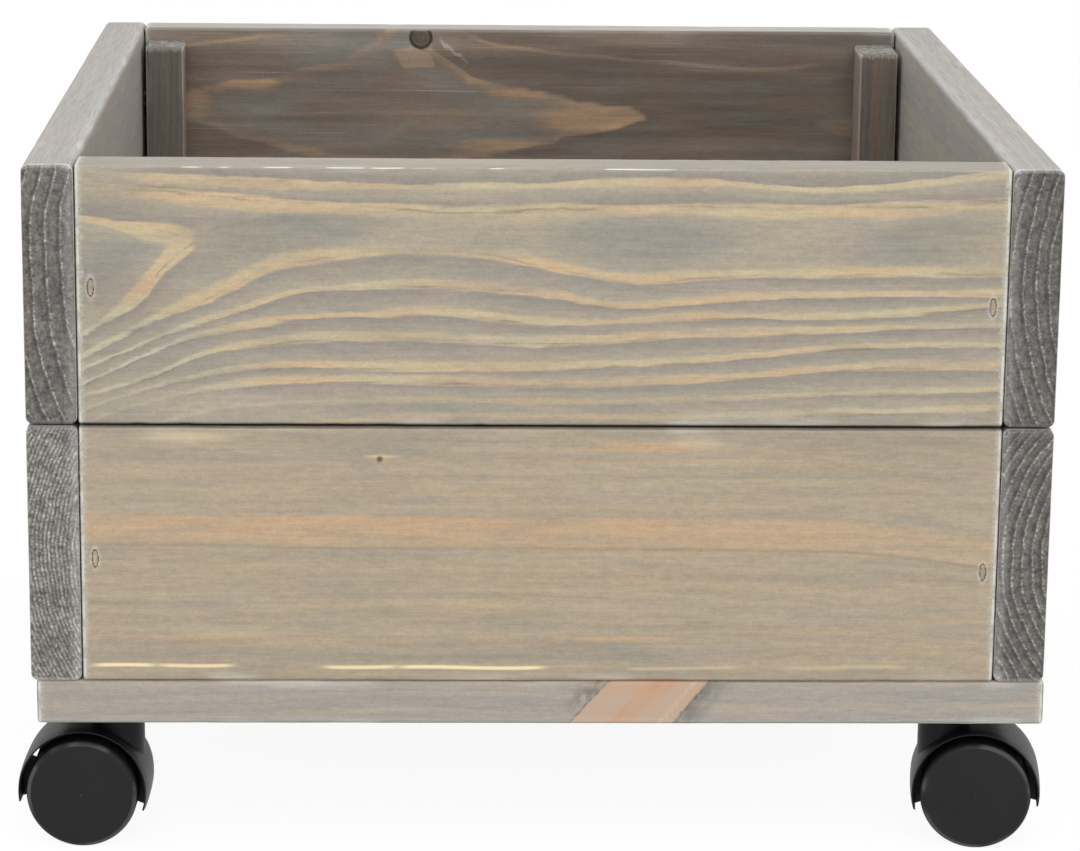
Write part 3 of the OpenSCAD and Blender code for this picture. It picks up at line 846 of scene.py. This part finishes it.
def lower_front(plank):
    """Nearly straight grain, an orange band, and resin streaks above the lower edge."""
    a, up = plank.a, plank.up
    sag = curve([(-171, 1.2), (-60, 0), (60, -0.5), (125, -2), (171, -8)], a)
    line = up - sag
    plank.ring = 40 - line / 6.3 + 2.2 * plank.noise((160, 21, 21), 21)
    plank.set_spacing(6.3, 0.5)
    plank.figure *= 0.07 + 0.14 * plank.noise((90, 24, 24), 22)
    face = plank.on_face()
    band = ease(line, -145, -142) * fall(line, -132, -129)
    plank.streaky += face * (0.55 - 0.3 * band)
    core = ease(line, -138.6, -136.8) * fall(line, -132.4, -130.6)
    under = ease(line, -143.6, -142.4) * fall(line, -138.6, -136.8)
    fade = 1 - 0.5 * ease(a, 90, 165)
    plank.warm += (0.68 * core * fade + 0.48 * under * fade + 0.15) * face
    plank.shade += 0.20 * face * fall(np.abs(line + 143.6), 0.3, 0.8)
    for name, spots in (("warm", WARM_SPOTS), ("cool", DULL_SPOTS), ("resin", YELLOW_SPOTS)):
        for *spot, strength in spots:
            vars(plank)[name] += strength * bulge(plank, *spot) * face
    for x0, x1, z, bright in RESIN_STREAKS:
        length = ease(a, x0, x0 + 8) * fall(a, x1 - 8, x1)
        strip = fall(np.abs(up - z - 0.25 * np.sin(a / 9)), 0.3, 1.0)
        plank.resin = np.maximum(plank.resin, length * strip * face * bright)
    knot = np.hypot(a - PIN_KNOT[0], up - PIN_KNOT[1]) / PIN_KNOT[2]
    plank.shade += 0.95 * fall(knot, 0.5, 1.1) * face
    calm_edges(plank, 0.06)


# Figure on the inside of the upper back board, given as (x, height from the rim) in mm;
# the knot's third value is its radius, the spots' last two their reach each way
FLAME = [(-171, -31), (-151, -28.7), (-138, -25.2), (-130, -23.5), (-121, -23.6), (-112, -22.4),
         (-103, -19.3), (-95, -16.9), (-80, -14.9), (-76, -10.6), (-69, -6.5), (-63, -1.6),
         (-58, 3), (-45, 9), (-40, -9.2), (-30, -15.9), (-22, -21.5), (-12, -24.6), (-2, -25.6),
         (6, -27.6), (20, -30.3), (25, -32.6), (38, -34.2), (47.5, -34.5), (52, -35.8),
         (59.5, -40.1), (54, -41.5), (43, -45.6), (33, -47.4), (19, -49.2), (16, -52.1),
         (6, -53.3), (-9, -57), (-50, -64), (-104, -57), (-119, -52), (-131, -49.7),
         (-139, -45.1), (-151, -42.7), (-171, -40)]
SMALL_FLAME = [(171, -36), (151, -37.6), (141, -39.2), (135, -41.5), (142, -46.1), (151, -48.6),
               (171, -50)]
UPPER_LINE = [(-45, 3), (-26, -1.1), (-18, -4.5), (4, -8.3), (20, -10.4), (36, -11.4), (51, -13),
              (70, -14), (87, -15.6), (103, -16.6), (124, -15.9), (134, -14.7), (171, -9)]
LEFT_LINE = [(-171, -9), (-151, -7.2), (-130, -4.8), (-117, -3), (-103, -1.9), (-90, -1.6),
             (-80, 2)]
PALE_PATCH = [(-57.8, -9.3), (-55, -16), (-53.3, -17.8), (-38.4, -17.1), (-40.9, -11.4),
              (-48.8, -7.2)]
KNOT = (-45.5, -3.6, 5.0)
ORANGE_SPOTS = [(-122, -25, 16, 4), (-149, -34, 11, 9), (30, -41, 34, 9), (-10, -53, 30, 4),
                (2, -29, 22, 4)]


def upper_back(plank):
    """Browner inner face with painted shade, a flame figure, a knot and a few pale lines."""
    plain_rings((30, 44), 6.0, (0.05, 0.02))(plank)
    x, up = -plank.a, plank.up
    inner = plank.on_face(-1)
    plank.figure *= 1 - inner
    plank.worn *= 1 - inner
    plank.brown += inner
    plank.streaky += 0.45 * inner
    plank.tone *= 1 + inner * 0.55 * (plank.noise((45, 3, 9), 33) - 0.5)
    plank.tone *= 1 + inner * 0.30 * (plank.noise((70, 11, 30), 35) - 0.5)
    add_flame(plank, x, up, inner)
    add_pale_lines(plank, x, up, inner)
    add_back_knot(plank, x, up, inner)
    calm_edges(plank, 0.10)


def add_flame(plank, x, up, inner):
    """The flame figures' orange edges and cool insides, the lighter and darker wood round them, and
    the painted shade on the inner face, lighter towards the rim.
    """
    gap = outline_distance(FLAME, x, up)
    inside = ease(gap, -0.5, 0.5)
    edge = (inside * fall(gap, 1.5, 5.5)
            + ease(outline_distance(SMALL_FLAME, x, up), -0.5, 0.5))
    plank.warm += inner * 0.75 * edge * ease(plank.noise((26, 12, 12), 34), 0.3, 0.75)
    for place, height, reach, drop in ORANGE_SPOTS:
        glow = fall(np.hypot((x - place) / reach, (up - height) / drop), 0.3, 1)
        plank.warm += inner * 0.95 * glow * inside
    plank.cool = np.where(inner > 0.5, 0, plank.cool)
    plank.cool += inner * 0.55 * inside * ease(gap, 3, 7) * fall(gap, 12, 19)
    plank.cool += inner * 0.8 * ease(x, -114, -98) * fall(x, -72, -60) * (1 - inside)
    plank.cool += inner * 0.3 * ease(x, 60, 110) * plank.noise((40, 14, 14), 31)
    halo = (1 - inside) * fall(-gap, 0.5, 7)
    middle = fall(np.hypot((x + 10) / 70, (up + 34) / 22), 0.4, 1)
    # Painted shade: the inner face darkened to about half, less towards the rim, more at the lower
    # left; the flame figure lightens it in places and its halo darkens it
    painted_light_and_figure = (0.475 + 0.09 * inside + 0.07 * edge + 0.06 * middle
           + 0.23 * ease(up, -15, -3) * fall(x, 40, 110)
           - 0.06 * halo * ease(x, -20, 30) - 0.04 * ease(-x, 90, 120) * ease(-up, 42, 50))
    plank.tone *= 1 - inner * (1 - painted_light_and_figure)


def add_pale_lines(plank, x, up, inner):
    """Two long lines, darker above, and the pale patch under the knot."""
    for points, from_x, to_x in ((UPPER_LINE, -30, 140), (LEFT_LINE, -171, -84)):
        off = up - curve(points, x)
        along = ease(x, from_x, from_x + 10) * fall(x, to_x - 12, to_x)
        line = inner * along * fall(np.abs(off + 0.5), 0.3, 1.3)
        plank.warm += 0.3 * line
        plank.tone *= 1 + 0.24 * line
        plank.tone *= 1 - inner * 0.10 * along * ease(off, 0.2, 0.8) * fall(off, 3, 9)
    patch = inner * ease(outline_distance(PALE_PATCH, x, up), -0.4, 0.8)
    plank.warm += 0.45 * patch
    plank.tone *= 1 + 0.20 * patch


def add_back_knot(plank, x, up, inner):
    """The dark round knot at the rim, and the jagged pale scratch beside it."""
    knot_x, knot_up, size = KNOT
    knot = np.hypot(x - knot_x, up - knot_up)
    within = fall(knot, size - 0.7, size - 0.1)
    core = within * (0.55 + 0.3 * (0.5 + 0.5 * np.cos(knot * 2.6)))
    rim = ease(knot, size - 1.3, size - 0.7) * fall(knot, size + 0.1, size + 0.6)
    plank.cool = np.where(knot < size, 0.4 * (1 - inner), plank.cool)
    inner = inner * ease(plank.inset[:, 1], 0.05, 0.35)
    plank.shade = np.maximum(plank.shade, inner * np.maximum(core, rim))
    plank.tone *= 1 - inner * (0.3 * within + 0.6 * rim)
    jag = 3 * (plank.noise((1.8, 1.8, 9), 36) - 0.5)
    off = np.abs((x + 37) * 0.72 + (up + 5.2) + jag)
    scratch = fall(off, 0.4, 1.6) * ease(x, -38, -35) * fall(x, -26, -23)
    plank.worn += inner * 0.5 * scratch


def plain_rings(pith, spacing, drift=(0, 0), wander=1.0, figure=1.0, cut_tone=1.0, worn=0.26):
    """A board whose figure follows from growth rings alone, round a pith that lies at
    (across, through) mm, drifts along the board and wanders."""
    def apply(plank):
        bend = wander * 14 * (plank.noise((150, 400, 400), 11) - 0.5)
        pith_b = pith[0] + drift[0] * plank.a + bend
        pith_c = pith[1] + drift[1] * plank.a + bend * 0.5
        radius = np.hypot(plank.b - pith_b, plank.c - pith_c)
        plank.ring = radius / spacing + 0.5 * (plank.noise((70, 22, 22), 12) - 0.5)
        plank.set_spacing(spacing)
        inner = plank.on_face(-1)
        plank.figure *= figure * (1 - 0.75 * inner)
        plank.cool += 0.5 * inner
        plank.worn += 0.12 * inner
        calm_edges(plank, worn)
        plank.tone *= 1 + (cut_tone - 1) * plank.on_end()
    return apply


def side_board(pith, spacing, cut_tone=1.0):
    """A side board: its inner face painted lighter as painted light inside the box, and a little
    duller along its top and bottom.
    """
    def apply(plank):
        plain_rings(pith, spacing, wander=0.3, cut_tone=cut_tone)(plank)
        # Painted light: the inner face 13 percent lighter; the narrow faces 6 percent darker
        plank.tone *= 1 + 0.13 * plank.on_face(-1) - 0.06 * plank.narrow()
    return apply


FRONT, LEFT, BACK, RIGHT = 0.0, -math.pi / 2, math.pi, math.pi / 2
# Node, turn of its outer face about Z, grid step in mm, noise seed, look, and finer spots of
# the grid: a, b, reach, gap between lines
WALLS = [
    ("upper_front_board", FRONT, 1.5, 1, upper_front, []),
    ("lower_front_board", FRONT, 1.5, 2, lower_front,
     [(None, -43.4, 1.8, 0.3), (-59.9, 36.8, 2.4, 0.4)]),
    ("upper_back_board", BACK, 1.7, 3, upper_back,
     [(39.0, None, 16.0, 0.6), (None, 37.5, 14.0, 0.7)]),
    ("lower_back_board", BACK, 2.4, 4, plain_rings((60, -30), 7.0, (0.06, 0.1)), []),
    ("upper_left_board", LEFT, 2.0, 5, side_board((13, -150), 5.8), []),
    ("lower_left_board", LEFT, 2.0, 6, side_board((0, -80), 1.6, cut_tone=1.38), []),
    ("upper_right_board", RIGHT, 2.0, 7, side_board((7, 105), 5.0, cut_tone=0.86), []),
    ("lower_right_board", RIGHT, 2.0, 8, side_board((0, 62), 3.9, cut_tone=0.93), []),
]

# Paler and darker areas of the boards that the photo shows from the front: place along the
# board seen from outside, height from the rim, reach each way, gain
TONE_SPOTS = {
    "upper_front_board": [(-154, -50, 30, 16, -0.07), (-104, -24, 46, 13, -0.07),
                          (-153, -12, 36, 7, -0.08), (147, -26, 34, 12, -0.06),
                          (-116, -91, 60, 8, 0.09), (112, -91, 70, 8, 0.05)],
    "lower_front_board": [(130, -106, 70, 16, -0.06), (-15, -105, 90, 12, -0.03)],
    "upper_back_board": [(110, -12, 56, 15, 0.16), (-90, -5, 80, 10, 0.16),
                         (-118, -38, 56, 22, -0.15), (45, -22, 50, 16, 0.05)],
}


def add_walls(front_material, side_material):
    for node, turn, step, seed, look, fine in WALLS:
        on_side = turn in (LEFT, RIGHT)
        spots = staples_on(node, turn)
        fine = fine + [(a, b) + STAPLE_FINE for a, b in spots]
        edge = SIDE_EDGE if on_side else FRONT_EDGE
        plank = Plank(node, *wall_axes(turn), edge, step, seed, fine)
        look(plank)
        for *area, gain in TONE_SPOTS.get(node, []):
            plank.tone *= 1 + gain * bulge(plank, *area)
        for a, b in spots:
            staple_mark(plank, a, b)
        # Painted shade in the seam: the narrow faces where the upper and lower boards meet are
        # darkened
        to_seam = -plank.b if node.startswith("upper") else plank.b
        plank.tone *= 1 - SEAM_PAINTED_SHADE * plank.narrow() * (to_seam > 0)
        plank.piece("planter", "grey_wood", side_material if on_side else front_material)


def add_battens(material):
    for seed, corner in enumerate(("front_left", "front_right", "rear_left", "rear_right")):
        plank = Plank(corner + "_batten", Z, X, Y, BATTEN_EDGE, BATTEN_STEP, 20 + seed)
        plain_rings((30, 14), 2.2, (0.01, 0.01))(plank)
        plank.cool *= 0
        plank.worn *= 0
        # Painted light and shade: the batten's faces towards the sides painted lighter, its front
        # and back faces darker, as the light falls; the ends stay nearly even
        painted_shade_faces = fall(plank.inset[:, 2], 0.5, 1.5)
        shade = 1.45 - 0.93 * painted_shade_faces * (1 - plank.narrow())
        plank.tone *= shade + (0.98 - shade) * plank.on_end()
        plank.streaky += 1.6
        plank.piece("planter", "batten_wood", material)


# Left and right end of the spike knot at the bottom and top of the floor's front edge, and the
# finer grid round it
SPIKE_BOTTOM = (9.6, 49.2)
SPIKE_TOP = (25.0, 62.8)
SPIKE_FINE = (37, 0, 36, 1.0)


def spike_knot(plank):
    """Slanting band of a spike knot, cut through by the front floor board's front edge."""
    t = (plank.c + plank.half[2]) / (2 * plank.half[2])
    left = SPIKE_BOTTOM[0] + t * (SPIKE_TOP[0] - SPIKE_BOTTOM[0])
    right = SPIKE_BOTTOM[1] + t * (SPIKE_TOP[1] - SPIKE_BOTTOM[1])
    gap = np.minimum(plank.a - left, right - plank.a)
    near = fall(plank.b + plank.half[1], 10, 30)
    plank.spike = near * np.clip(0.5 + gap / 8, 0, 1)
    across = (plank.a - left) / (right - left)
    along = np.stack([plank.a - left, plank.c, 0 * t], 1) + 90
    streak = soft_noise(along, (1.1, 9, 9), 75)
    inside = near * ease(gap, -0.6, 0.8)
    core = fall(np.abs(across - 0.46 - 0.10 * t), 0.04, 0.20)
    rind = fall(gap, 0.6, 2.4)
    plank.knot = inside * (0.75 * core * (0.3 + 0.9 * streak) + 0.3 * ease(t, 0.6, 0.9)
                           + 0.25 * ease(streak, 0.5, 0.8) + 0.2 * rind)
    plank.worn += 0.2 * inside * fall(np.abs(across - 0.86), 0.0, 0.03)
    hatch = ease(soft_noise(along, (1.6, 1.1, 9), 76), 0.30, 0.62)
    past = plank.a - right
    beside = near * ease(past, -1.2, 0.4) * fall(past, 3, 12)
    before = near * fall(plank.a - left, -1, 0.5) * ease(plank.a - left, -12, -4)
    plank.cool += beside
    plank.stain += 0.36 * beside * fall(past, 1, 11 - 3 * t)
    plank.shade += beside * (0.10 + 0.3 * hatch) + 0.5 * before * hatch * ease(t, 0.25, 0.6)


def add_floor_boards(material):
    for i in range(4):
        fine = [SPIKE_FINE] if i == 0 else []
        plank = Plank(f"floor_board_{i + 1}", X, Y, Z, FLOOR_EDGE, FLOOR_STEP, 30 + i, fine)
        plain_rings((12 - 9 * i, -40), 4.4, (0.02, 0.04), figure=0.6, worn=0.0)(plank)
        plank.streaky += 0.3
        plank.tone *= 1.05
        if i == 0:
            spike_knot(plank)
        plank.piece("planter", "floor_wood", material)


# ---- Metal and plastic ----

def plastic(name, colour, roughness, grain_size, gloss, scuff_and_highlight=0.0):
    """Moulded plastic with a fine grain; the rounded edges of a wheel are paler in patches, partly
    scuffs and partly a painted highlight.
    """
    net = Paint(name)
    coordinates = net.add("TexCoord").outputs
    place = coordinates["Object"]
    fine = net.noise(place, 3, 0.6, 1 / grain_size)
    broad = net.noise(place, 2, 0.5, 60)
    light = tuple(min(1, 1.5 * v) for v in colour[:3]) + (1,)
    shade = net.mix(net.span(broad, 0.35, 0.7, 0.0, 0.5), colour, light)
    facing = net.add("SeparateXYZ", {"Vector": coordinates["Normal"]}).outputs["Y"]
    facing = net.math("ABSOLUTE", facing)
    # Rounded wheel edges painted paler in patches: partly scuffs, partly a painted highlight
    round_edge = net.product(net.span(facing, 0.35, 0.7), net.fall(facing, 0.9, 0.99))
    scuffs_and_highlight = net.product(round_edge, net.span(broad, 0.42, 0.58), scuff_and_highlight)
    shade = net.mix(scuffs_and_highlight, shade, rgb(96, 96, 96))
    rough = net.span(fine, 0.3, 0.7, roughness - 0.05, roughness + 0.07, False)
    net.add_skin(shade, rough, fine, (0.25, 0.0001), **{"Specular IOR Level": gloss})
    return net.material


def metal(name, colour, roughness, spread):
    net = Paint(name)
    place = net.add("TexCoord").outputs["Object"]
    fine = net.noise(place, 3, 0.6, 900)
    broad = net.noise(place, 3, 0.6, 140)
    dull = tuple(0.62 * v for v in colour[:3]) + (1,)
    shade = net.mix(net.span(broad, 0.35, 0.7), colour, dull)
    rough = net.span(broad, 0.3, 0.7, roughness, roughness + spread, False)
    net.add_skin(shade, rough, fine, (0.2, 0.0001), Metallic=1.0)
    return net.material


def dress(words, material):
    """Gives a material to every CAD node whose name ends in one of the words."""
    for name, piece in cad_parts.items():
        if name.endswith(words):
            piece.data.materials.clear()
            piece.data.materials.append(material)


def add_fittings():
    dress(("staples",), metal("staple_wire", rgb(184, 168, 144), 0.55, 0.25))
    dress(("screws", "snap_ring", "axle"), metal("screw_steel", rgb(170, 172, 176), 0.3, 0.2))
    dress(("plate", "stem"), metal("zinc_plate", rgb(196, 199, 204), 0.32, 0.22))
    dress(("hood",), plastic("hood_plastic", rgb(18, 18, 19), 0.42, 0.0006, 0.18))
    dress(("front_wheel", "rear_wheel"),
          plastic("wheel_plastic", rgb(21, 21, 22), 0.45, 0.0005, 0.25, scuff_and_highlight=0.6))


add_camera()
add_surroundings()
add_floor()
add_light()
add_walls(Wood("grey_wood", GREY_WOOD).material, Wood("side_wood", SIDE_WOOD).material)
add_battens(Wood("batten_wood", BATTEN_WOOD).material)
add_floor_boards(Wood("floor_wood", FLOOR_WOOD).material)
add_fittings()
